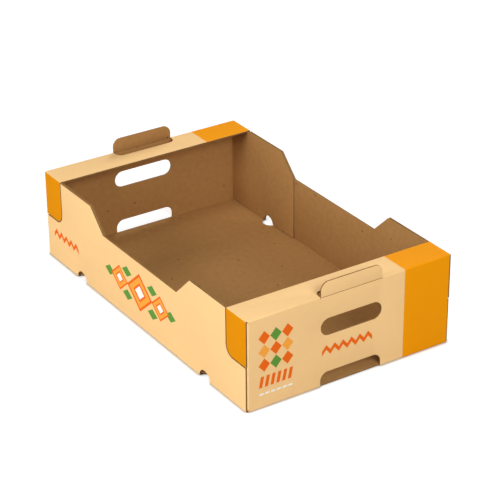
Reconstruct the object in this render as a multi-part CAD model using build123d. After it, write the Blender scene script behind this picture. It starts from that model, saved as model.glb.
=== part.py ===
"""Open fruit tray, die-cut and folded from one sheet of corrugated board.

Millimetres. The origin is at the middle of the underside, +X runs along the length and +Z is up.

The floor carries four walls. Each end wall turns inwards at its top into a level ledge, and the
ledge's two ends turn down again as end flaps. Each end wall also has a glue flap at either side,
which turns the corner and lies against the inside of the long wall, so that the raised corners are
two boards thick. The long walls are notched for the end flaps and dip between the corners. A
stacking tab stands up out of each ledge in line with the end wall, and leaves its slot behind it.
Each end wall has a hand hole and a foot cut-out that takes the tab of the tray below.
"""

from build123d import *
import os

# Outside size of the folded tray
LENGTH = 490.0
WIDTH = 300.0
HEIGHT = 123.0  # underside to the top face of the ledges

# Board and folds
BOARD = 3.0
FOLD_OUTSIDE = 2.0  # radius of a fold on the printed side
FOLD_INSIDE = 0.5  # radius on the crushed side

# Long walls
WALL_END_GAP = 0.5  # between each cut end and the inner face of the end wall
CORNER_DROP = 1.0  # the raised corners lie this far under the ledge's top
CORNER_RUN = 124.0  # end face to the head of the slope
SLOPE_RUN = 31.0  # level length of the slope
LOW_EDGE = 92.0  # height of the edge between the slopes

# Ledges and the end flaps that hang from them
LEDGE_DEPTH = 42.5
FLAP_DROP = 61.0  # ledge's top to the flap's lower edge
FLAP_BACK = 1.5  # each flap's outer edge lies this far behind the end face
FLAP_GAP = 1.2  # between a flap and the notch that it sits in
FLAP_ROUND_NEAR = 13.0  # lower inner corner at the +X end
FLAP_ROUND_FAR = 4.0  # the same at the -X end

# Glue flaps inside the long walls
GLUE_EDGE_BACK = 1.0  # free edge, short of the slope's foot
GLUE_FLOOR_GAP = 1.0  # lower edge above the floor

# Stacking tabs and their slots
TAB_WIDTH = 90.0
TAB_RISE = 19.0
TAB_ROUND = 11.0
SLOT_REACH = 15.0  # end face to the slot's inner edge
SLOT_ROUND = 10.0
SCORE_RADIUS = 0.45  # pressed line at the tab's root, on both faces
SCORE_DROP = 0.5  # its centre under the ledge's top

# Hand holes and foot cut-outs
HAND_WIDTH = 89.5
HAND_HEIGHT = 23.5
HAND_CENTRE = 80.8
FOOT_WIDTH = 89.5
FOOT_TOP = 19.0
FOOT_ROUND = 11.0

# Round vents punched across the folds between the floor and the long walls
VENT_RADIUS = 12.0
VENT_FROM_END = 93.0

# Places worked out from the sizes above
END_FACE = LENGTH / 2
SIDE_FACE = WIDTH / 2
CORNER_TOP = HEIGHT - CORNER_DROP
SLOPE_HEAD = END_FACE - CORNER_RUN
SLOPE_FOOT = SLOPE_HEAD - SLOPE_RUN
LEDGE_EDGE = END_FACE - LEDGE_DEPTH
LEDGE_UNDER = HEIGHT - BOARD
NOTCH_EDGE = LEDGE_EDGE - FLAP_GAP
FLAP_LOW = HEIGHT - FLAP_DROP
PAST = 5.0  # how far a cutting shape reaches past the face that it cuts


def folded_loop(length, height):
    """Closed band of board seen from its cut edge: round folds outside, tight ones inside."""
    outside = RectangleRounded(length, height, FOLD_OUTSIDE)
    return outside - RectangleRounded(length - 2 * BOARD, height - 2 * BOARD, FOLD_INSIDE)


def block(low, high):
    """Box between two corners."""
    size = [b - a for a, b in zip(low, high)]
    return Pos(*low) * Box(*size, align=(Align.MIN, Align.MIN, Align.MIN))


def across(outline, reach=WIDTH):
    """Prism of an outline in X and Z, carried across the width."""
    return extrude(Plane.XZ * outline, amount=reach, both=True)


def panel(left, right, bottom, top):
    """Rectangle between four sides, on a sketch plane."""
    return Pos((left + right) / 2, (bottom + top) / 2) * Rectangle(right - left, top - bottom)


def round_corners(outline, corners, radius):
    """The outline with the chosen corners rounded."""
    return fillet(corners, radius) if radius > 0 else outline


def both_ends(shape):
    """The shape at the +X end and its mirror image at the other."""
    return shape + mirror(shape, Plane.YZ)


def wall_slope(x):
    """Height of the long wall's top edge on its slope, at a distance x from the middle."""
    return LOW_EDGE + (CORNER_TOP - LOW_EDGE) * (x - SLOPE_FOOT) / SLOPE_RUN


def end_to_end():
    """Floor, end walls and ledges as one band along the length, as wide as fits between the long walls."""
    inner_width = WIDTH - 2 * BOARD
    band = across(Pos(0, HEIGHT / 2) * folded_loop(LENGTH, HEIGHT), inner_width / 2)
    band &= extrude(RectangleRounded(LENGTH, inner_width, FOLD_OUTSIDE), amount=HEIGHT)
    mouth = block((-LEDGE_EDGE, -SIDE_FACE, LEDGE_UNDER - PAST), (LEDGE_EDGE, SIDE_FACE, HEIGHT + PAST))
    return band - mouth


def flap_outline(edge, low, outer, corner_radius):
    """An end flap or its notch at the +X end, from the side, up to the ledge's top."""
    outline = panel(edge, outer, low, HEIGHT)
    inner_low = outline.vertices().group_by(Axis.X)[0].sort_by(Axis.Y)[0]
    return round_corners(outline, inner_low, corner_radius)


def long_walls():
    """Both long walls with the floor between them: dipped along the middle and notched for the end flaps."""
    end = END_FACE - BOARD - WALL_END_GAP
    outline = make_face(
        Polyline(
            (-end, 0),
            (-end, CORNER_TOP),
            (-SLOPE_HEAD, CORNER_TOP),
            (-SLOPE_FOOT, LOW_EDGE),
            (SLOPE_FOOT, LOW_EDGE),
            (SLOPE_HEAD, CORNER_TOP),
            (end, CORNER_TOP),
            (end, 0),
            close=True,
        )
    )
    low = FLAP_LOW - FLAP_GAP
    near_notch = flap_outline(NOTCH_EDGE, low, END_FACE, FLAP_ROUND_NEAR + FLAP_GAP)
    far_notch = mirror(flap_outline(NOTCH_EDGE, low, END_FACE, FLAP_ROUND_FAR + FLAP_GAP), Plane.YZ)
    channel = Pos(0, HEIGHT) * folded_loop(WIDTH, 2 * HEIGHT)
    channel = extrude(Plane.YZ * channel, amount=END_FACE, both=True)
    return channel & across(outline - near_notch - far_notch)


def ledge_with_flaps(corner_radius):
    """The ledge at the +X end with an end flap folded down at either side."""
    hood = extrude(Plane.YZ * folded_loop(WIDTH, 2 * HEIGHT), amount=END_FACE)
    outline = flap_outline(LEDGE_EDGE, FLAP_LOW, END_FACE - FLAP_BACK, corner_radius)
    return hood & across(outline)


def glue_flaps():
    """The four flaps that turn the corners from the end walls and lie inside the long walls."""
    low = BOARD + GLUE_FLOOR_GAP
    edge = SLOPE_FOOT + GLUE_EDGE_BACK
    outline = make_face(
        Polyline(
            (edge, low),
            (edge, wall_slope(edge)),
            (SLOPE_HEAD, CORNER_TOP),
            (NOTCH_EDGE, CORNER_TOP),
            (NOTCH_EDGE, LEDGE_UNDER),
            (END_FACE, LEDGE_UNDER),
            (END_FACE, low),
            close=True,
        )
    )
    loop = extrude(folded_loop(LENGTH, WIDTH - 2 * BOARD), amount=HEIGHT)
    return loop & both_ends(across(outline))


def stacking_tab():
    """The tab at the +X end, from inside the wall's top fold to its rounded head."""
    root = HEIGHT - BOARD
    outline = panel(-TAB_WIDTH / 2, TAB_WIDTH / 2, root, HEIGHT + TAB_RISE)
    outline = round_corners(outline, outline.vertices().group_by(Axis.Y)[-1], TAB_ROUND)
    return extrude(Plane.YZ.offset(END_FACE - BOARD) * outline, amount=BOARD)


def tab_slot():
    """What the tab leaves open in the ledge at the +X end."""
    inside = END_FACE - SLOT_REACH
    outline = panel(inside, END_FACE - BOARD, -TAB_WIDTH / 2, TAB_WIDTH / 2)
    outline = round_corners(outline, outline.vertices().group_by(Axis.X)[0], SLOT_ROUND)
    return Pos(0, 0, LEDGE_UNDER - FOLD_INSIDE) * extrude(outline, amount=BOARD + FOLD_INSIDE + PAST)


def tab_scores():
    """The pressed line across the root of the tab at the +X end, on either face."""
    line = Rot(90, 0, 0) * Cylinder(SCORE_RADIUS, TAB_WIDTH)
    height = HEIGHT - SCORE_DROP
    return Pos(END_FACE, 0, height) * line + Pos(END_FACE - BOARD, 0, height) * line


def hand_hole():
    """The hand hole through the +X end wall, an oblong with round ends."""
    outline = Pos(0, HAND_CENTRE) * SlotOverall(HAND_WIDTH, HAND_HEIGHT)
    return extrude(Plane.YZ.offset(END_FACE - BOARD - PAST) * outline, amount=BOARD + 2 * PAST)


def foot_cutout():
    """The cut-out across the fold at the foot of the +X end wall. The floor ends behind it."""
    outline = panel(-FOOT_WIDTH / 2, FOOT_WIDTH / 2, -PAST, FOOT_TOP)
    outline = round_corners(outline, outline.vertices().group_by(Axis.Y)[-1], FOOT_ROUND)
    behind = BOARD + FOLD_INSIDE
    return extrude(Plane.YZ.offset(END_FACE - behind) * outline, amount=behind + PAST)


def vent(x, side):
    """A round hole across the fold at the foot of a long wall: half in the walls, half in the floor."""
    inward = 2 * BOARD + FOLD_INSIDE
    wall_centre = Pos(x, side * (SIDE_FACE + (PAST - inward) / 2), 0) * Rot(90, 0, 0)
    floor_centre = Pos(x, side * SIDE_FACE, BOARD / 2)
    in_walls = wall_centre * Cylinder(VENT_RADIUS, inward + PAST)
    return in_walls + floor_centre * Cylinder(VENT_RADIUS, 2 * BOARD)


def tray():
    """The whole folded sheet as one solid."""
    sheet = end_to_end() + long_walls() + glue_flaps()
    sheet += ledge_with_flaps(FLAP_ROUND_NEAR)
    sheet += mirror(ledge_with_flaps(FLAP_ROUND_FAR), Plane.YZ)
    sheet += both_ends(stacking_tab())
    sheet -= both_ends(tab_slot())
    sheet -= both_ends(tab_scores())
    sheet -= both_ends(hand_hole())
    sheet -= both_ends(foot_cutout())
    for side in (-1, 1):
        sheet -= both_ends(vent(END_FACE - VENT_FROM_END, side))
    return sheet.clean()


os.makedirs("parts", exist_ok=True)
part = tray()
part.label = "tray"
export_step(part, "parts/tray.step")
print("tray", round(part.volume), "cubic mm", part.bounding_box().size)
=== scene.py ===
"""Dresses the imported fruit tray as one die-cut, printed and folded sheet of corrugated board.

Metres. The tray is laid out as its flat blank, where u runs along the tray's length and v across it, and
depth goes in from the printed face. The blank's outline, holes and print are drawn there, triangulated,
and folded into place by one formula, so that every panel, fold and cut edge belongs to the same sheet.
"""

import math

import bmesh
import bpy
import numpy as np
from mathutils import Matrix, Vector
from mathutils.geometry import delaunay_2d_cdt


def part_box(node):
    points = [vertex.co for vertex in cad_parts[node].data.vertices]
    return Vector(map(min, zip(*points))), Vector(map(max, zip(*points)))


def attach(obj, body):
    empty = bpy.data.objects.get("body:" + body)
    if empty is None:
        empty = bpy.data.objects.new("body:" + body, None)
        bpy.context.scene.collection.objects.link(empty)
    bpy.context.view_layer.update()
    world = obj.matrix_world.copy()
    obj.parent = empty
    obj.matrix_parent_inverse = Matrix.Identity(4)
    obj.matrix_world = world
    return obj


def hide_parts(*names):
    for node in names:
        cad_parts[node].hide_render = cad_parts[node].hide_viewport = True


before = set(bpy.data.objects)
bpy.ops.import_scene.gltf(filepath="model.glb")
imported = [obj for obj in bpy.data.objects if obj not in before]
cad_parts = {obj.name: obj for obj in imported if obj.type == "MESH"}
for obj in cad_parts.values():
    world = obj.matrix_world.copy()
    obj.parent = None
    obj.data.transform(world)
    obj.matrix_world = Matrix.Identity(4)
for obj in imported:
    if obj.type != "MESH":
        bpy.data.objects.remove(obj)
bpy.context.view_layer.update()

# Outside sizes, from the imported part
tray_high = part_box("tray")[1]
END_FACE = tray_high.x
SIDE_FACE = tray_high.y
TAB_TOP = tray_high.z

# Board and folds
# The board is drawn 1 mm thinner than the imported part's, with its outside faces on the part's.
BOARD = 0.002
FOLD_OUTSIDE = 0.0015  # radius on the printed side
FOLD_INSIDE = 0.0002  # radius on the crushed side
FOLD_HALF = BOARD + FOLD_INSIDE  # what a fold takes up of each of its two panels
FOLD_FLAT = 2 * (FOLD_HALF - FOLD_OUTSIDE) + FOLD_OUTSIDE * math.pi / 2  # its width on the blank
FOLD_STEPS = 8
ARC_STEPS = 12  # along a quarter circle

# Walls, ledges and flaps
HEIGHT = 0.123
CORNER_TOP = 0.122
LOW_EDGE = 0.092
SLOPE_HEAD = 0.121
SLOPE_FOOT = 0.090
LEDGE_EDGE = 0.2025
FLAP_FRONT = 0.2435
FLAP_LOW = 0.062
FLAP_GAP = 0.002
FLAP_ROUND = 0.013
GLUE_LOW = BOARD + 0.001
GLUE_EDGE = SLOPE_FOOT + 0.001
SLIT = 0.0005  # die-cut slits between neighbouring folds
GLUE_LINE = 0.0001  # between two boards glued face to face

# Holes, tabs and slots
HAND_WIDTH = 0.0895
HAND_HEIGHT = 0.0235
HAND_CENTRE = 0.0808
FOOT_WIDTH = 0.0895
FOOT_TOP = 0.019
FOOT_ROUND = 0.011
TAB_HALF = 0.045
TAB_ROUND = 0.011
TAB_KERF = 0.0003
SLOT_EDGE = END_FACE - 0.015
SLOT_ROUND = 0.010
SCORE_HEIGHT = 0.1225
SCORE_HALF = 0.0007
SCORE_DEPTH = 0.0003
SCORE_STEPS = 6
CREASE_HALF = 0.0005  # half the width of the darker band along the middle of the score, where the ink wears through and the groove's shade is painted in
VENT_RADIUS = 0.012
VENT_PLACE = END_FACE - 0.093

# Fluting inside the board
LINER = 0.0003
FLUTE_PITCH = 0.0045
FLUTE_STEPS = 10  # points along one wave
MEDIUM = 0.0002
RECESS = 0.0006  # how far the medium is seen into a cut edge, less than a fold's short straights
ARRIS = 0.00015  # rounding of the liners at a cut edge
ARRIS_STEPS = 3

# Places on the blank
U_END = END_FACE - FOLD_HALF  # floor to end wall
U_TOP = U_END + FOLD_FLAT + HEIGHT - 2 * FOLD_HALF  # end wall to ledge
V_SIDE = SIDE_FACE - FOLD_HALF  # floor to long wall, and ledge to end flap
GLUED_FACE = SIDE_FACE - BOARD - GLUE_LINE
V_CORNER = GLUED_FACE - FOLD_HALF  # end wall to glue flap
TINY = 1e-6
MERGED = 1e-7  # points of the blank closer than this are one
WELD = 2e-6  # the same on the folded tray
LEVEL = 0.9999  # a face is on a level or upright panel where its normal lies this close to an axis
SHARP = math.radians(50)
MITRE_LEAST = 0.3  # one plus the cosine of the turn, below which a mitre is cut short

# Print
FIELD_EDGE = 0.079
# The crease ink is the tab's score: ink wearing through, darkened further as painted shade of the groove.
CREAM, ORANGE, FLAP_ORANGE, CORAL, APRICOT, GREEN, WHITE, WORN_AND_SHADED_CREASE = range(8)  # inks
# The pressed look is bare kraft crushed along the tab's score, darkened as painted shade of the groove.
KRAFT, PRESSED_AND_SHADED, CUT_LINER, RECESS_SHADE = range(8, 12)  # bare board
PATCH_PLACE = -0.1085  # middle of the patch of lozenges on an end wall
PATCH_HEIGHT = 0.0765
PATCH_PITCH = 0.0165
PATCH_RISE = 0.0185
PATCH_ROWS = 3  # and as many columns
PATCH_FILL = 0.98  # a lozenge's share of its pitch
BAR_COUNT = 6
BAR_HEIGHT = 0.0355
BAR_PITCH = 0.0082
BAR_SIZE = (0.0046, 0.015, 0.003)  # width, height and lean
DASH_HEIGHT = 0.019
DASH_SIZE = (0.7 * BAR_PITCH, 0.0025, 0.0005)
ZIGZAG_HEIGHT = 0.014
ZIGZAG_BAND = 0.0065
END_ZIGZAG = (-0.0055, 0.049)  # its middle, across the wall and up it
END_ZIGZAG_LENGTH = 0.074
END_PEAKS = 6
SIDE_ZIGZAG = (-0.192, 0.0415)
SIDE_ZIGZAG_LENGTH = 0.066
SIDE_PEAKS = 5
GARLAND_HEIGHT = 0.050
GARLAND_PITCH = 0.050
LARGE_HALF = (0.031, 0.027)  # half a lozenge's width and height
SMALL_HALF = (0.021, 0.018)
LEAF_HALF = (0.012, 0.0075)
LEAF_PLACES = ((0.62, 0.62), (0.62, -0.62), (1.5, 0.0))  # in pitches along, and in large half heights up
RINGS = ((1.0, CORAL), (0.84, APRICOT), (0.5, CORAL), (0.36, WHITE))  # share of the size, and ink

# Camera
AZIMUTH = math.radians(56.89)
ELEVATION = math.radians(27.63)
ROLL = math.radians(-0.43)
DISTANCE = 2.570
AIM_RIGHT = 0.0134
AIM_UP = 0.0591
LENS = 141.84

# Colours as displayed, from 0 to 255, the inks in the order of their looks
INK_COLOURS = {
    "cream_print": (248, 205, 144),
    "orange_print": (247, 157, 10),
    "flap_orange_print": (227, 143, 4),
    "coral_print": (240, 106, 26),
    "apricot_print": (252, 168, 68),
    "green_print": (98, 150, 62),
    "white_print": (250, 247, 240),
    # the tab's score: ink wearing through, darkened further as painted shade of the groove
    "worn_and_shaded_crease": (170, 128, 72),
}
KRAFT_COLOUR = (174, 129, 78)
# kraft at the score, darker as crushed board and as painted shade of the groove
PRESSED_AND_SHADED_COLOUR = (156, 113, 66)
CUT_COLOUR = (196, 150, 96)
# the recess in a cut edge, darker than kraft as painted shade of the flute tunnels
RECESS_SHADE_COLOUR = (140, 104, 62)
MEDIUM_COLOUR = (178, 135, 84)

# Finish, with noise scales and cells to the metre of the blank
SHEEN = 0.02  # matt paper
INK_ROUGHNESS = 0.6
KRAFT_ROUGHNESS = 0.85
PLAIN_ROUGHNESS = 0.9
FIBRE_SCALES = (500, 1400, 0)  # along u, across it, and not in depth
FIBRE_DETAIL = 3.0
WASHBOARD = 0.3  # height of the flutes' washboard against the fibres'
INK_RELIEF = 0.00002
KRAFT_RELIEF = 0.00004
UNEVEN_SCALE = 90.0
THIN_INK = 0.965  # tone of the ink where the paper takes it less
MOTTLE_SCALE = 130.0
CLOUD_DETAIL = 4.0
CLOUD_LOW = 0.3  # mean of the mottling and the fibres where the kraft is darkest, and lightest
CLOUD_HIGH = 0.7
DARK_KRAFT = 0.9  # tones
LIGHT_KRAFT = 1.08
FLECK_CELLS = 21.0
FLECK_SHARE = 0.36  # of the cells have a fleck
FLECK_CORE = 0.034  # from a cell's middle, in cells
FLECK_EDGE = 0.052
FLECK_DEPTH = 0.8  # share of the dark tone in a fleck's core
FLECK_TONE = 0.35
RAGGED_SCALE = 900.0
RAGGED_DEPTH = 0.03  # how far the noise moves a fleck's edge

# Studio
WORLD_LIGHT = 0.1
FLOOR_REACH = 4.0
FLOOR_TONE = 0.55
FLOOR_LIFT = 0.64
CONTACT_REACH = 0.005  # width of the painted contact shadow along the tray's foot
CONTACT_DEPTH = 2.6
CONTACT_SAMPLES = 16
LAMP_SIZE = 1.0
LAMPS = {  # place and power
    "front_lamp": ((-0.37, -2.62, 0.50), 16),
    "left_lamp": ((0.30, -2.35, 1.20), 34),
    "end_lamp": ((2.20, -0.20, 1.50), 38),
    "top_lamp": ((0.20, -0.12, 2.69), 13),
    "back_lamp": ((-1.60, 1.60, 1.47), 24),
}


def up_end(z):
    """Blank's u at a height on an end wall."""
    return U_END + FOLD_FLAT + z - FOLD_HALF


def along_ledge(x):
    """Blank's u at a distance from the tray's middle, on a ledge."""
    return U_TOP + FOLD_FLAT + U_END - x


def up_side(z):
    """Blank's v at a height on a long wall."""
    return V_SIDE + FOLD_FLAT + z - FOLD_HALF


def along_glue(x):
    """Blank's v at a distance from the tray's middle, on a glue flap."""
    return V_CORNER + FOLD_FLAT + U_END - x


def down_flap(z):
    """Blank's v at a height on an end flap."""
    return V_SIDE + FOLD_FLAT + HEIGHT - FOLD_HALF - z


def bend(s, depth):
    """The board turned through a right angle, as seen on its cut edge.

    s runs along the printed face from the fold's start. The result is the distance back from the second
    panel's printed face, and the distance in from the first panel's. Within the fold the printed face is a
    quarter circle between two short straights, the inner face is a quarter circle about the same corner,
    and what lies between them is mixed by its share of the board's thickness. Outside the fold both
    panels go on straight.
    """
    straight = FOLD_HALF - FOLD_OUTSIDE
    turn = np.clip((s - straight) / FOLD_OUTSIDE, 0, np.pi / 2)
    back_out = FOLD_HALF - np.clip(s, 0, straight) - FOLD_OUTSIDE * np.sin(turn)
    in_out = FOLD_OUTSIDE * (1 - np.cos(turn)) + np.clip(s + straight - FOLD_FLAT, 0, straight)
    crush = np.clip(s / FOLD_FLAT, 0, 1) * np.pi / 2
    back_in = FOLD_HALF - FOLD_INSIDE * np.sin(crush)
    in_in = FOLD_HALF - FOLD_INSIDE * np.cos(crush)
    share = depth / BOARD
    back = back_out + (back_in - back_out) * share + np.maximum(-s, 0)
    inward = in_out + (in_in - in_out) * share + np.maximum(s - FOLD_FLAT, 0)
    return back, inward


def folded(flat, depth, tab=False, home=None):
    """Places on the folded tray of points on the blank, at a depth in from the printed face.

    The floor turns up into the end walls, these turn in as ledges, or go on straight as tabs, and turn
    round the corners as glue flaps. The floor turns up into the long walls, and the ledges turn down into
    the end flaps. A score presses both faces of the tab in along a rounded groove. Points just off the
    sheet's outline name the outline's own points as their home, and follow the panel that holds those.
    """
    home_reach, home_across = np.abs(flat if home is None else home).T
    u, v = flat.T
    reach, across = np.abs(u), np.abs(v)
    off_score = np.clip(np.abs(reach - up_end(SCORE_HEIGHT)) / SCORE_HALF, 0, 1)
    groove = np.where(tab, SCORE_DEPTH * (1 + np.cos(np.pi * off_score)) / 2, 0)
    depth = depth + groove * (1 - 2 * depth / BOARD)

    back, up = bend(reach - U_END, depth)
    x, y, z = END_FACE - back, across, up

    under_ledge = home_reach <= U_TOP + TINY
    raised = (home_across > SIDE_FACE + FOLD_FLAT) & (home_reach < along_ledge(FLAP_FRONT) - TINY)
    on_end = home_reach > U_END + FOLD_FLAT + TINY
    glue = (home_across > V_CORNER + TINY) & on_end & (under_ledge | raised) & ~np.bool_(tab)
    beside, behind = bend(across - V_CORNER, depth)
    x = np.where(glue, END_FACE - behind, x)
    y = np.where(glue, GLUED_FACE - beside, y)

    ledge = ~under_ledge & ~glue & ~np.bool_(tab)
    down, inward = bend(reach - U_TOP, depth)
    x = np.where(ledge, END_FACE - inward, x)
    z = np.where(ledge, HEIGHT - down, z)

    beside, below = bend(across - V_SIDE, depth)
    flap = ledge & (home_across > V_SIDE + TINY)
    x = np.where(flap, U_END + U_TOP + FOLD_FLAT - reach, x)
    y = np.where(flap, SIDE_FACE - beside, y)
    z = np.where(flap, HEIGHT - below, z)

    wall = (home_reach <= U_END + TINY) & (home_across > V_SIDE + TINY)
    x = np.where(wall, reach, x)
    y = np.where(wall, SIDE_FACE - beside, y)
    z = np.where(wall, below, z)
    return np.column_stack([np.copysign(x, u), np.copysign(y, v), z])


def arc(centre, radii, start, end, steps):
    """Points on an ellipse: its centre plus its radii times the cosine and sine of evenly spaced angles."""
    angle = np.linspace(start, end, steps)
    return np.column_stack([centre[0] + radii[0] * np.cos(angle), centre[1] + radii[1] * np.sin(angle)])


def rounded(corners):
    """A closed outline from rows of u, v and radius.

    A right-angled corner P, with unit directions a to the corner before it and b to the one after, becomes
    P + r a (1 - sin q) + r b (1 - cos q) as q runs through a quarter turn.
    """
    corners = np.array(corners, float)
    place, radius = corners[:, None, :2], corners[:, None, 2:]
    before = np.roll(place, 1, axis=0) - place
    after = np.roll(place, -1, axis=0) - place
    before /= np.linalg.norm(before, axis=2, keepdims=True)
    after /= np.linalg.norm(after, axis=2, keepdims=True)
    quarter = np.linspace(0, np.pi / 2, ARC_STEPS + 1)[None, :, None]
    points = place + radius * (before * (1 - np.sin(quarter)) + after * (1 - np.cos(quarter)))
    points = points.reshape(-1, 2)
    return points[np.linalg.norm(points - np.roll(points, 1, axis=0), axis=1) > TINY]


def quadrant():
    """A quarter of the blank's outline as rows of u, v and radius, from a long wall to a ledge's end."""
    slope_at_glue = LOW_EDGE + (CORNER_TOP - LOW_EDGE) * (GLUE_EDGE - SLOPE_FOOT) / (SLOPE_HEAD - SLOPE_FOOT)
    notch_edge = LEDGE_EDGE - FLAP_GAP
    notch_low = FLAP_LOW - FLAP_GAP
    wall = [
        (SLOPE_FOOT, up_side(LOW_EDGE), 0),
        (SLOPE_HEAD, up_side(CORNER_TOP), 0),
        (notch_edge, up_side(CORNER_TOP), 0),
        (notch_edge, up_side(notch_low), FLAP_ROUND + FLAP_GAP),
        (U_END, up_side(notch_low), 0),
        (U_END, V_SIDE, 0),
    ]
    corner = [
        (U_END + FOLD_FLAT, V_SIDE, 0),
        (U_END + FOLD_FLAT, V_CORNER, 0),
        (up_end(GLUE_LOW), V_CORNER, 0),
    ]
    open_turn = math.asin(GLUE_LOW / VENT_RADIUS)
    vent_centre = (up_end(0), along_glue(VENT_PLACE))
    vent_turn = np.pi / 2 - open_turn
    vent = arc(vent_centre, (VENT_RADIUS, VENT_RADIUS), -vent_turn, vent_turn, 2 * ARC_STEPS)
    glue = [
        (up_end(GLUE_LOW), along_glue(GLUE_EDGE), 0),
        (up_end(slope_at_glue), along_glue(GLUE_EDGE), 0),
        (up_end(CORNER_TOP), along_glue(SLOPE_HEAD), 0),
        (up_end(CORNER_TOP), along_glue(notch_edge), 0),
        (U_TOP, along_glue(notch_edge), 0),
        (U_TOP, V_CORNER, 0),
    ]
    ledge = [
        (U_TOP + SLIT, V_CORNER, 0),
        (U_TOP + SLIT, V_SIDE, 0),
        (U_TOP + FOLD_FLAT, V_SIDE, 0),
        (U_TOP + FOLD_FLAT, V_SIDE + SLIT, 0),
        (along_ledge(FLAP_FRONT), V_SIDE + SLIT, 0),
        (along_ledge(FLAP_FRONT), down_flap(FLAP_LOW), 0),
        (along_ledge(LEDGE_EDGE), down_flap(FLAP_LOW), FLAP_ROUND),
    ]
    vent = np.column_stack([vent, np.zeros(len(vent))])
    return np.vstack([wall, corner, vent, glue, ledge])


def blank_outline():
    """The whole outline, clockwise, from four quadrants, of which every second one is run backwards."""
    there = quadrant()
    back = there[::-1]
    return rounded(np.vstack([there, back * (1, -1, 1), there * (-1, -1, 1), back * (-1, 1, 1)]))


def end_holes():
    """The hand hole and the foot cut-out at the +X end, anticlockwise."""
    low, high = up_end(HAND_CENTRE - HAND_HEIGHT / 2), up_end(HAND_CENTRE + HAND_HEIGHT / 2)
    half, turn = HAND_WIDTH / 2, HAND_HEIGHT / 2
    hand = rounded([(low, -half, turn), (high, -half, turn), (high, half, turn), (low, half, turn)])
    low, high, half = U_END, up_end(FOOT_TOP), FOOT_WIDTH / 2
    foot = rounded([(low, -half, 0), (high, -half, FOOT_ROUND), (high, half, FOOT_ROUND), (low, half, 0)])
    return [hand, foot]


def slot_corners():
    """The slot that the tab leaves in the ledge at the +X end, from root to root, as u, v and radius."""
    edge, half = along_ledge(SLOT_EDGE), TAB_HALF + TAB_KERF
    return [(U_TOP, -half, 0), (edge, -half, SLOT_ROUND), (edge, half, SLOT_ROUND), (U_TOP, half, 0)]


def tab_corners():
    """The tab at the +X end, from root to root, as u, v and radius."""
    top, half = up_end(TAB_TOP), TAB_HALF - TAB_KERF
    return [(U_TOP, half, 0), (top, half, TAB_ROUND), (top, -half, TAB_ROUND), (U_TOP, -half, 0)]


def far_twin(loop):
    """The same loop at the -X end, still with the sheet on its right."""
    return loop[::-1] * (-1, 1)


def vent_holes():
    """The vents across the folds at the feet of the long walls, anticlockwise."""
    radii = (VENT_RADIUS, VENT_RADIUS - FOLD_HALF + FOLD_FLAT / 2)
    middle = V_SIDE + FOLD_FLAT / 2
    steps = 4 * ARC_STEPS + 1
    places = [(x, y) for x in (-VENT_PLACE, VENT_PLACE) for y in (-middle, middle)]
    return [arc(place, radii, 0, 2 * np.pi, steps)[:-1] for place in places]


def fold_lines():
    """Lines along every fold, as axis, value, and the lowest and highest of the other coordinate.

    A fold has a line at each end of its two short straights, and FOLD_STEPS spaces between the inner two.
    """
    straight = FOLD_HALF - FOLD_OUTSIDE
    rows = [0, *np.linspace(straight, FOLD_FLAT - straight, FOLD_STEPS + 1), FOLD_FLAT]
    glue_span, flap_span = (up_end(GLUE_LOW), U_TOP), (along_ledge(FLAP_FRONT), along_ledge(LEDGE_EDGE))
    lines = []
    for side in (-1, 1):
        for s in rows:
            lines.append((1, side * (V_SIDE + s), -U_END, U_END))
            lines.append((0, side * (U_END + s), -V_SIDE, V_SIDE))
            top_reach = V_SIDE if s > 0 else V_CORNER
            lines.append((0, side * (U_TOP + s), -top_reach, top_reach))
            for end in (-1, 1):
                lines.append((1, side * (V_CORNER + s), *sorted(end * u for u in glue_span)))
                start = flap_span[0] if s > 0 else U_TOP + FOLD_FLAT
                lines.append((1, side * (V_SIDE + s), *sorted((end * start, end * flap_span[1]))))
    return lines


def score_lines():
    """Lines along the groove at each tab's root, in the same form."""
    rows = up_end(SCORE_HEIGHT) + SCORE_HALF * np.linspace(-1, 1, SCORE_STEPS + 1)
    return [(0, side * u, -TAB_HALF, TAB_HALF) for side in (-1, 1) for u in rows]


def field_lines():
    """The straight edge of the deep orange field on each end wall and ledge, in the same form."""
    span = (U_END + FOLD_FLAT / 2, along_ledge(LEDGE_EDGE))
    return [(1, FIELD_EDGE, *span), (1, FIELD_EDGE, -span[1], -span[0])]


def crossed(loop, lines):
    """The loop with a point added wherever a line crosses it, each between the points on either side."""
    ahead = np.roll(loop, -1, axis=0)
    length = np.linalg.norm(ahead - loop, axis=1)
    order, points = [np.arange(len(loop), dtype=float)], [loop]
    for axis, value, low, high in lines:
        run = ahead[:, axis] - loop[:, axis]
        share = (value - loop[:, axis]) / np.where(np.abs(run) < TINY, np.inf, run)
        place = loop + share[:, None] * (ahead - loop)
        other = place[:, 1 - axis]
        within = (share * length > TINY) & ((1 - share) * length > TINY)
        hit = within & (other > low - TINY) & (other < high + TINY)
        order.append(np.arange(len(loop))[hit] + share[hit])
        points.append(place[hit])
    return np.concatenate(points)[np.argsort(np.concatenate(order), kind="stable")]


def inside(points, loops):
    """Whether each point has an odd number of the loops' edges beyond it along u."""
    start = np.vstack(loops)
    end = np.vstack([np.roll(loop, -1, axis=0) for loop in loops])
    u, v = points[:, 0, None], points[:, 1, None]
    spans = (start[:, 1] > v) != (end[:, 1] > v)
    rise = np.where(end[:, 1] == start[:, 1], np.inf, end[:, 1] - start[:, 1])
    cut = start[:, 0] + (v - start[:, 1]) / rise * (end[:, 0] - start[:, 0])
    return (spans & (cut > u)).sum(axis=1) % 2 == 1


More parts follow.
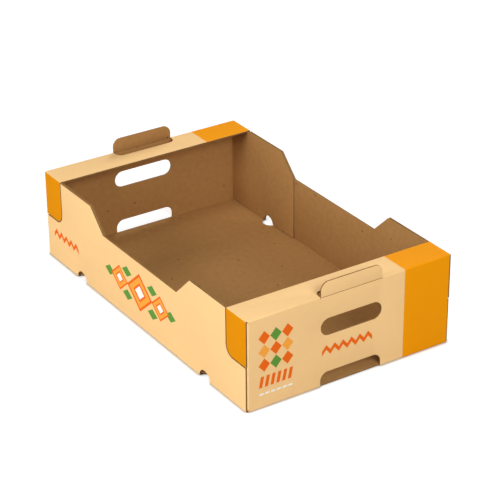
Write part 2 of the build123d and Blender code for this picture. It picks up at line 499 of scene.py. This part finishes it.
def triangulated(loops, lines, drawn=()):
    """Triangles inside the loops, with edges along the loops, the lines and the drawn shapes' outlines."""
    points, edges, count = [], [], 0
    for loop in (*loops, *drawn):
        index = np.arange(len(loop)) + count
        points.append(loop)
        edges.append(np.column_stack([index, np.roll(index, -1)]))
        count += len(loop)
    for axis, value, low, high in lines:
        ends = np.array([[low, value], [high, value]])
        points.append(ends[:, ::-1] if axis == 0 else ends)
        edges.append(np.array([[count, count + 1]]))
        count += 2
    made = delaunay_2d_cdt(np.vstack(points).tolist(), np.vstack(edges).tolist(), [], 0, MERGED, False)
    places, triangles = np.array(made[0]), np.array(made[2])
    centres = places[triangles].mean(axis=1)
    return places, triangles[inside(centres, loops)]


def outward(loop):
    """At each point of a loop with the sheet on its right, the mitred direction that leaves the sheet."""
    run = np.roll(loop, -1, axis=0) - loop
    run /= np.linalg.norm(run, axis=1, keepdims=True)
    after = np.column_stack([-run[:, 1], run[:, 0]])
    before = np.roll(after, 1, axis=0)
    spread = 1 + (after * before).sum(axis=1, keepdims=True)
    return (after + before) / np.maximum(spread, MITRE_LEAST)


def carried(loop, tab, outsets, depths, ring):
    """A profile carried along a loop of the blank and folded with it: points, blank places and quads.

    Row r lies outsets[r] off the loop and depths[r] in from the printed face, where a depth may vary along
    the loop. The rows are joined one to the next, and the last to the first if the profile is a ring.
    """
    count, rows = len(loop), len(outsets)
    aside = outward(loop)
    flats = [loop + aside * outset for outset in outsets]
    points = [folded(flat, depth, tab, loop) for flat, depth in zip(flats, depths)]
    here = np.arange(count)
    ahead = np.roll(here, -1)
    row = np.arange(rows if ring else rows - 1)[:, None] * count
    above = (row + count) % (rows * count)
    quads = np.stack([row + here, above + here, above + ahead, row + ahead], axis=-1)
    return np.vstack(points), np.vstack(flats), quads


def refined(loop, tab):
    """The loop and its tab flags with steps added, so that points lie close together across the flutes."""
    ahead = np.roll(loop, -1, axis=0)
    parts = np.maximum(np.ceil(np.abs(ahead - loop)[:, 1] / FLUTE_PITCH * FLUTE_STEPS), 1).astype(int)
    edge = np.repeat(np.arange(len(loop)), parts)
    share = (np.arange(len(edge)) - np.repeat(np.cumsum(parts) - parts, parts)) / parts[edge]
    return loop[edge] + share[:, None] * (ahead - loop)[edge], tab[edge]


def cut_edges():
    """Every cut edge as a loop with the sheet on its right, paired with which of its points are on a tab."""
    folds = fold_lines() + field_lines()
    near = end_holes()
    plain = [blank_outline(), *vent_holes(), *near, *map(far_twin, near)]
    edges = [(loop, np.zeros(len(loop), bool)) for loop in (crossed(loop, folds) for loop in plain)]
    slot = crossed(rounded(slot_corners()), folds)
    tab = crossed(rounded(tab_corners()), score_lines())
    both, on_tab = np.vstack([slot, tab]), np.arange(len(slot) + len(tab)) >= len(slot)
    return edges + [(both, on_tab), (far_twin(both), on_tab[::-1])]


def stacked(parts):
    """Points, blank places, faces and looks of several parts as one, with the faces renumbered."""
    points, flats, faces, looks, count = [], [], [], [], 0
    for part_points, part_flats, part_faces, part_looks in parts:
        points.append(part_points)
        flats.append(part_flats)
        faces += (part_faces + count).tolist()
        looks.append(part_looks)
        count += len(part_points)
    return np.vstack(points), np.vstack(flats), faces, np.concatenate(looks)


def spaced(middle, pitch, count):
    """Places a pitch apart, evenly about their middle."""
    return middle + pitch * (np.arange(count) - (count - 1) / 2)


def lozenge(centre, half_width, half_height):
    """A square stood on its corner and drawn out, round its centre."""
    spokes = np.array([(half_width, 0), (0, half_height), (-half_width, 0), (0, -half_height)])
    return np.array(centre) + spokes


def slanted_bar(centre, width, height, lean):
    """An upright bar whose top leans over to the right."""
    foot = [(-width - lean, -height), (width - lean, -height)]
    head = [(width + lean, height), (lean - width, height)]
    return np.array(centre) + np.array(foot + head) / 2


def zigzag(centre, length, peaks):
    """A band that goes up and down between straight turns, equally high all along."""
    along = np.linspace(-length / 2, length / 2, 2 * peaks + 1)
    wave = (ZIGZAG_HEIGHT - ZIGZAG_BAND) / 2 * np.where(np.arange(len(along)) % 2, 1, -1)
    lower = np.column_stack([along, wave - ZIGZAG_BAND / 2])
    upper = np.column_stack([along, wave + ZIGZAG_BAND / 2])
    return np.array(centre) + np.vstack([lower, upper[::-1]])


def end_print():
    """The pattern on an end wall, as shapes in y and z with their inks: lozenges over bars, and a zigzag."""
    shapes = []
    half = (PATCH_FILL * PATCH_PITCH / 2, PATCH_FILL * PATCH_RISE / 2)
    for column, y in enumerate(spaced(PATCH_PLACE, PATCH_PITCH, PATCH_ROWS)):
        for row, z in enumerate(spaced(PATCH_HEIGHT, PATCH_RISE, PATCH_ROWS)):
            ink_here = CORAL if (column + row) % 2 == 0 else GREEN if column == 1 else APRICOT
            shapes.append((lozenge((y, z), *half), ink_here))
    for y in spaced(PATCH_PLACE, BAR_PITCH, BAR_COUNT):
        shapes.append((slanted_bar((y, BAR_HEIGHT), *BAR_SIZE), CORAL))
        shapes.append((slanted_bar((y, DASH_HEIGHT), *DASH_SIZE), WHITE))
    shapes.append((zigzag(END_ZIGZAG, END_ZIGZAG_LENGTH, END_PEAKS), CORAL))
    return shapes


def side_print():
    """The pattern on a long wall, as shapes in x and z with their inks: a garland of lozenges, and a zigzag.

    Small lozenges are set either side of a large one that covers their points, and green ones lie above and
    below the joins and at both tips.
    """
    shapes = []
    for side in (-1, 1):
        for along, rise in LEAF_PLACES:
            place = (side * along * GARLAND_PITCH, GARLAND_HEIGHT + rise * LARGE_HALF[1])
            shapes.append((lozenge(place, *LEAF_HALF), GREEN))
    for column, half in ((-1, SMALL_HALF), (1, SMALL_HALF), (0, LARGE_HALF)):
        place = (column * GARLAND_PITCH, GARLAND_HEIGHT)
        for share, ink_here in RINGS:
            shapes.append((lozenge(place, share * half[0], share * half[1]), ink_here))
    shapes.append((zigzag(SIDE_ZIGZAG, SIDE_ZIGZAG_LENGTH, SIDE_PEAKS), CORAL))
    return shapes


def artwork():
    """All the printed shapes as loops of the blank with their inks. Opposite walls carry the same print."""
    drawn = []
    for shape, ink_here in end_print():
        loop = np.column_stack([up_end(shape[:, 1]), shape[:, 0]])
        drawn += [(loop, ink_here), (loop * (-1, 1), ink_here)]
    for shape, ink_here in side_print():
        loop = np.column_stack([shape[:, 0], -up_side(shape[:, 1])])
        drawn += [(loop, ink_here), (loop * (1, -1), ink_here)]
    return drawn


def printed(centres, drawn):
    """The ink at places on the blank: orange fields on the ends and end flaps, and shapes over the cream.

    The glue flaps are left bare, so that the glue holds.
    """
    reach, v = np.abs(centres[:, 0]), centres[:, 1]
    looks = np.where((v > FIELD_EDGE) & (reach > U_END + FOLD_FLAT / 2), ORANGE, CREAM)
    past_front = reach > along_ledge(FLAP_FRONT)
    looks[past_front & (np.abs(v) > V_SIDE + FOLD_FLAT / 2)] = FLAP_ORANGE
    looks[~past_front & (np.abs(v) > V_CORNER + FOLD_FLAT) & (reach > U_END + FOLD_FLAT)] = KRAFT
    for loop, ink_here in drawn:
        looks[inside(centres, [loop])] = ink_here
    return looks


def skins(edges):
    """Both faces of the sheet, the printed one and the bare one, with their triangles facing outwards.

    The tabs are laid out apart from the blank, whose slots are cut short across the root of their tabs, and
    the two are welded there.
    """
    blank = [loop[~(tab & np.roll(tab, 1) & np.roll(tab, -1))] for loop, tab in edges]
    tabs = [loop[tab] for loop, tab in edges if tab.any()]
    drawn = artwork()
    places, triangles = triangulated(blank, fold_lines() + field_lines(), [loop for loop, _ in drawn])
    looks = printed(places[triangles].mean(axis=1), drawn)
    parts = [(folded(places, 0), places, triangles[:, ::-1], looks)]
    places, triangles = triangulated(tabs, score_lines())
    # Along the middle of the score both faces are painted darker as the groove's shade, on top of the ink's
    # wear and the board's crush.
    shaded_score_middle = np.abs(np.abs(places[triangles].mean(axis=1)[:, 0]) - up_end(SCORE_HEIGHT)) < CREASE_HALF
    parts.append((folded(places, 0, True), places, triangles[:, ::-1], np.where(shaded_score_middle, WORN_AND_SHADED_CREASE, CREAM)))
    parts.append((folded(places, BOARD, True), places, triangles, np.where(shaded_score_middle, PRESSED_AND_SHADED, KRAFT)))
    places, triangles = triangulated(blank, fold_lines())
    parts.append((folded(places, BOARD), places, triangles, np.full(len(triangles), KRAFT)))
    return parts


def rims(edges):
    """The cut edge: two liners with rounded arrises, and a recess between them where the fluting is seen,
    darkened as painted shade of the flute tunnels.
    """
    turn = np.linspace(0, np.pi / 2, ARRIS_STEPS + 1)
    depths = np.concatenate([LINER / 2 * (1 - np.cos(turn)), [LINER]])
    outsets = np.concatenate([ARRIS * np.sin(turn), [ARRIS]])
    depths = np.concatenate([depths, [LINER, BOARD - LINER], BOARD - depths[::-1]])
    outsets = np.concatenate([outsets, [-RECESS, -RECESS], outsets[::-1]])
    deep = (outsets[:-1] < 0) | (outsets[1:] < 0)
    parts = []
    for loop, tab in edges:
        points, flats, quads = carried(loop, tab, outsets, depths, False)
        # the faces in the recess take the painted shade colour
        looks = np.repeat(np.where(deep, RECESS_SHADE, CUT_LINER), len(loop))
        parts.append((points, flats, quads.reshape(-1, 4), looks))
    return parts


def ribbons(edges):
    """The fluted medium in the cut edges: a thin band whose depth is a sine of the place along v."""
    swing = BOARD / 2 - LINER - MEDIUM / 2
    parts = []
    for loop, tab in edges:
        fine, on_tab = refined(loop, tab)
        middle = BOARD / 2 + swing * np.sin(2 * np.pi * fine[:, 1] / FLUTE_PITCH)
        depths = [middle - MEDIUM / 2, middle + MEDIUM / 2, middle + MEDIUM / 2, middle - MEDIUM / 2]
        outsets = (-ARRIS, -ARRIS, -RECESS - ARRIS, -RECESS - ARRIS)
        points, flats, quads = carried(fine, on_tab, outsets, depths, True)
        parts.append((points, flats, quads.reshape(-1, 4), np.zeros(quads.shape[0] * quads.shape[1])))
    return parts


def new_piece(name, parts, materials):
    """A piece of the tray from parts of the folded sheet, welded, with its folds and rounded edges smooth."""
    points, flats, faces, looks = stacked(parts)
    mesh = bpy.data.meshes.new(name)
    mesh.from_pydata(points.tolist(), [], faces)
    for material in materials:
        mesh.materials.append(material)
    mesh.polygons.foreach_set("material_index", looks.astype(np.int32))
    corner = np.empty(len(mesh.loops), np.int32)
    mesh.loops.foreach_get("vertex_index", corner)
    mesh.uv_layers.new(name="blank").uv.foreach_set("vector", flats[corner].astype(np.float32).ravel())
    welded = bmesh.new()
    welded.from_mesh(mesh)
    bmesh.ops.remove_doubles(welded, verts=welded.verts, dist=WELD)
    welded.to_mesh(mesh)
    welded.free()
    normals = np.empty(3 * len(mesh.polygons), np.float32)
    mesh.polygons.foreach_get("normal", normals)
    turned = np.abs(normals.reshape(-1, 3)).max(axis=1) < LEVEL
    mesh.polygons.foreach_set("use_smooth", turned)
    mesh.set_sharp_from_angle(angle=SHARP)
    piece = bpy.data.objects.new(name, mesh)
    bpy.context.collection.objects.link(piece)
    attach(piece, "root")
    return piece


def linear(display, tone=1.0):
    """A displayed colour as the linear one that a shader takes, by the sRGB curve, times a tone."""
    share = np.array(display) / 255
    light = np.where(share > 0.04045, ((share + 0.055) / 1.055) ** 2.4, share / 12.92)
    return (*(tone * light), 1.0)


def add_node(tree, kind, inputs, **settings):
    """A shader node with its settings, and with each named input set to a value or linked to a socket."""
    node = tree.nodes.new("ShaderNode" + kind)
    for name, value in settings.items():
        setattr(node, name, value)
    for name, value in inputs.items():
        if isinstance(value, bpy.types.NodeSocket):
            tree.links.new(value, node.inputs[name])
        else:
            node.inputs[name].default_value = value
    return node


def arithmetic(tree, operation, *values):
    """The socket that gives the result of a sum on sockets and numbers."""
    return add_node(tree, "Math", dict(enumerate(values)), operation=operation).outputs[0]


def noise(tree, place, scale, detail):
    """The socket of a soft noise spread over the blank."""
    inputs = {"Vector": place, "Scale": scale, "Detail": detail}
    return add_node(tree, "TexNoise", inputs, noise_dimensions="2D").outputs["Fac"]


def mixed(tree, share, first, second):
    """The socket of two colours mixed by a share of the second."""
    return add_node(tree, "MixRGB", {"Fac": share, "Color1": first, "Color2": second}).outputs["Color"]


def new_material(name, roughness):
    """A matt material: its node tree and its shader."""
    material = bpy.data.materials.new(name)
    material.use_nodes = True
    shader = material.node_tree.nodes["Principled BSDF"]
    shader.inputs["Roughness"].default_value = roughness
    shader.inputs["Specular IOR Level"].default_value = SHEEN
    return material, material.node_tree, shader


def plain_material(name, colour):
    """One colour all over."""
    material, _, shader = new_material(name, PLAIN_ROUGHNESS)
    shader.inputs["Base Color"].default_value = linear(colour)
    return material


def liner_surface(tree, shader, relief):
    """Fine fibres that lie along the board, and the faint washboard of the flutes under the liner.

    The height is noise drawn out along u, plus a sine of v with the pitch of the flutes.
    """
    place = add_node(tree, "UVMap", {}, uv_map="blank").outputs["UV"]
    drawn_out = add_node(tree, "VectorMath", {0: place, 1: FIBRE_SCALES}, operation="MULTIPLY").outputs[0]
    fibres = noise(tree, drawn_out, 1.0, FIBRE_DETAIL)
    across = add_node(tree, "SeparateXYZ", {0: place}).outputs["Y"]
    phase = arithmetic(tree, "MULTIPLY", across, 2 * math.pi / FLUTE_PITCH)
    height = arithmetic(tree, "MULTIPLY_ADD", arithmetic(tree, "SINE", phase), WASHBOARD, fibres)
    bump = add_node(tree, "Bump", {"Height": height, "Distance": relief, "Strength": 1.0})
    tree.links.new(bump.outputs["Normal"], shader.inputs["Normal"])
    return place, fibres


def ink(name, colour):
    """Flat ink on a smooth liner, a little uneven where the paper takes it less."""
    material, tree, shader = new_material(name, INK_ROUGHNESS)
    place, _ = liner_surface(tree, shader, INK_RELIEF)
    uneven = noise(tree, place, UNEVEN_SCALE, CLOUD_DETAIL)
    laid = mixed(tree, uneven, linear(colour), linear(colour, THIN_INK))
    tree.links.new(laid, shader.inputs["Base Color"])
    return material


def kraft(name, colour):
    """Bare brown liner: soft mottling in two sizes, fibres, and a few small dark flecks of bark."""
    material, tree, shader = new_material(name, KRAFT_ROUGHNESS)
    place, fibres = liner_surface(tree, shader, KRAFT_RELIEF)
    clouds = arithmetic(tree, "ADD", noise(tree, place, MOTTLE_SCALE, CLOUD_DETAIL), fibres)
    spread = {"Value": clouds, "From Min": 2 * CLOUD_LOW, "From Max": 2 * CLOUD_HIGH}
    share = add_node(tree, "MapRange", spread).outputs[0]
    mottled = mixed(tree, share, linear(colour, DARK_KRAFT), linear(colour, LIGHT_KRAFT))
    cells = add_node(tree, "TexVoronoi", {"Vector": place, "Scale": FLECK_CELLS}, voronoi_dimensions="2D")
    ragged = noise(tree, place, RAGGED_SCALE, 1.0)
    reach = arithmetic(tree, "MULTIPLY_ADD", ragged, RAGGED_DEPTH, cells.outputs["Distance"])
    ends = {"From Min": FLECK_CORE, "From Max": FLECK_EDGE, "To Min": FLECK_DEPTH, "To Max": 0.0}
    depth = add_node(tree, "MapRange", {"Value": reach, **ends}).outputs[0]
    lot = add_node(tree, "SeparateColor", {"Color": cells.outputs["Color"]}).outputs["Red"]
    spot = arithmetic(tree, "MULTIPLY", depth, arithmetic(tree, "LESS_THAN", lot, FLECK_SHARE))
    flecked = mixed(tree, spot, mottled, linear(colour, FLECK_TONE))
    tree.links.new(flecked, shader.inputs["Base Color"])
    return material


def seen_directly(tree):
    """One for rays from the camera, in a mirror or through glass, and nought for those that carry light."""
    path = add_node(tree, "LightPath", {})
    seen = path.outputs["Is Camera Ray"]
    for also in ("Is Glossy Ray", "Is Transmission Ray"):
        seen = arithmetic(tree, "MAXIMUM", seen, path.outputs[also])
    return seen


def add_camera():
    """Camera on a sphere about the tray's middle, shifted to the photograph's framing and rolled."""
    back = np.array(
        [
            math.sin(AZIMUTH) * math.cos(ELEVATION),
            -math.cos(AZIMUTH) * math.cos(ELEVATION),
            math.sin(ELEVATION),
        ]
    )
    level = np.array([math.cos(AZIMUTH), math.sin(AZIMUTH), 0])
    upright = np.cross(back, level)
    place = back * DISTANCE + level * AIM_RIGHT + upright * AIM_UP
    right = math.cos(ROLL) * level + math.sin(ROLL) * upright
    up = math.cos(ROLL) * upright - math.sin(ROLL) * level
    camera = bpy.data.objects.new("camera", bpy.data.cameras.new("camera"))
    camera.data.lens = LENS
    rows = np.eye(4)
    rows[:3] = np.column_stack([right, up, back, place])
    camera.matrix_world = Matrix(rows.tolist())
    bpy.context.collection.objects.link(camera)
    bpy.context.scene.camera = camera


def add_floor():
    """A plain pale floor that looks white in the open, with a painted contact shadow: its glow is darkened by
    ambient occlusion close along the tray's foot.
    """
    corners = [(-FLOOR_REACH, -FLOOR_REACH, 0), (FLOOR_REACH, -FLOOR_REACH, 0)]
    corners += [(x, -y, z) for x, y, z in corners[::-1]]
    mesh = bpy.data.meshes.new("studio_floor")
    mesh.from_pydata(corners, [], [(0, 1, 2, 3)])
    material, tree, shader = new_material("studio_floor", PLAIN_ROUGHNESS)
    shader.inputs["Base Color"].default_value = (FLOOR_TONE, FLOOR_TONE, FLOOR_TONE, 1.0)
    shader.inputs["Emission Color"].default_value = (1.0, 1.0, 1.0, 1.0)
    reach = {"Distance": CONTACT_REACH}
    # The glow is darkened by ambient occlusion as a painted contact shadow.
    open_sky = add_node(tree, "AmbientOcclusion", reach, samples=CONTACT_SAMPLES).outputs["AO"]
    open_sky = arithmetic(tree, "POWER", open_sky, CONTACT_DEPTH)
    lift = arithmetic(tree, "MULTIPLY", seen_directly(tree), FLOOR_LIFT)
    tree.links.new(arithmetic(tree, "MULTIPLY", lift, open_sky), shader.inputs["Emission Strength"])
    mesh.materials.append(material)
    floor = bpy.data.objects.new("studio_floor", mesh)
    bpy.context.collection.objects.link(floor)


def add_world():
    """Even pale light, and plain white where the camera or a reflection sees past the floor."""
    world = bpy.data.worlds.new("studio")
    world.use_nodes = True
    bpy.context.scene.world = world
    tree = world.node_tree
    tree.nodes.clear()
    white = (1.0, 1.0, 1.0, 1.0)
    light = add_node(tree, "Background", {"Color": white, "Strength": WORLD_LIGHT})
    seen = add_node(tree, "Background", {"Color": white, "Strength": 1.0})
    mix = add_node(tree, "MixShader", {0: seen_directly(tree), 1: light.outputs[0], 2: seen.outputs[0]})
    add_node(tree, "OutputWorld", {"Surface": mix.outputs[0]})


def add_lamp(name, place, power):
    """A square soft lamp that faces the middle of the tray."""
    lamp = bpy.data.lights.new(name, "AREA")
    lamp.size = LAMP_SIZE
    lamp.energy = power
    holder = bpy.data.objects.new(name, lamp)
    holder.location = place
    holder.rotation_euler = Vector(place).to_track_quat("Z", "Y").to_euler()
    bpy.context.collection.objects.link(holder)


edges = cut_edges()
materials = [ink(name, colour) for name, colour in INK_COLOURS.items()]
materials.append(kraft("kraft_liner", KRAFT_COLOUR))
# kraft along the score, painted darker with the groove's shade
materials.append(plain_material("pressed_and_shaded_kraft", PRESSED_AND_SHADED_COLOUR))
materials.append(plain_material("cut_liner", CUT_COLOUR))
materials.append(plain_material("recess", RECESS_SHADE_COLOUR))
sheet = new_piece("folded_sheet", skins(edges) + rims(edges), materials)
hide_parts("tray")
new_piece("fluting", ribbons(edges), [plain_material("medium", MEDIUM_COLOUR)])
bpy.context.scene.view_settings.view_transform = "Standard"
add_camera()
add_floor()
add_world()
for name, (place, power) in LAMPS.items():
    add_lamp(name, place, power)
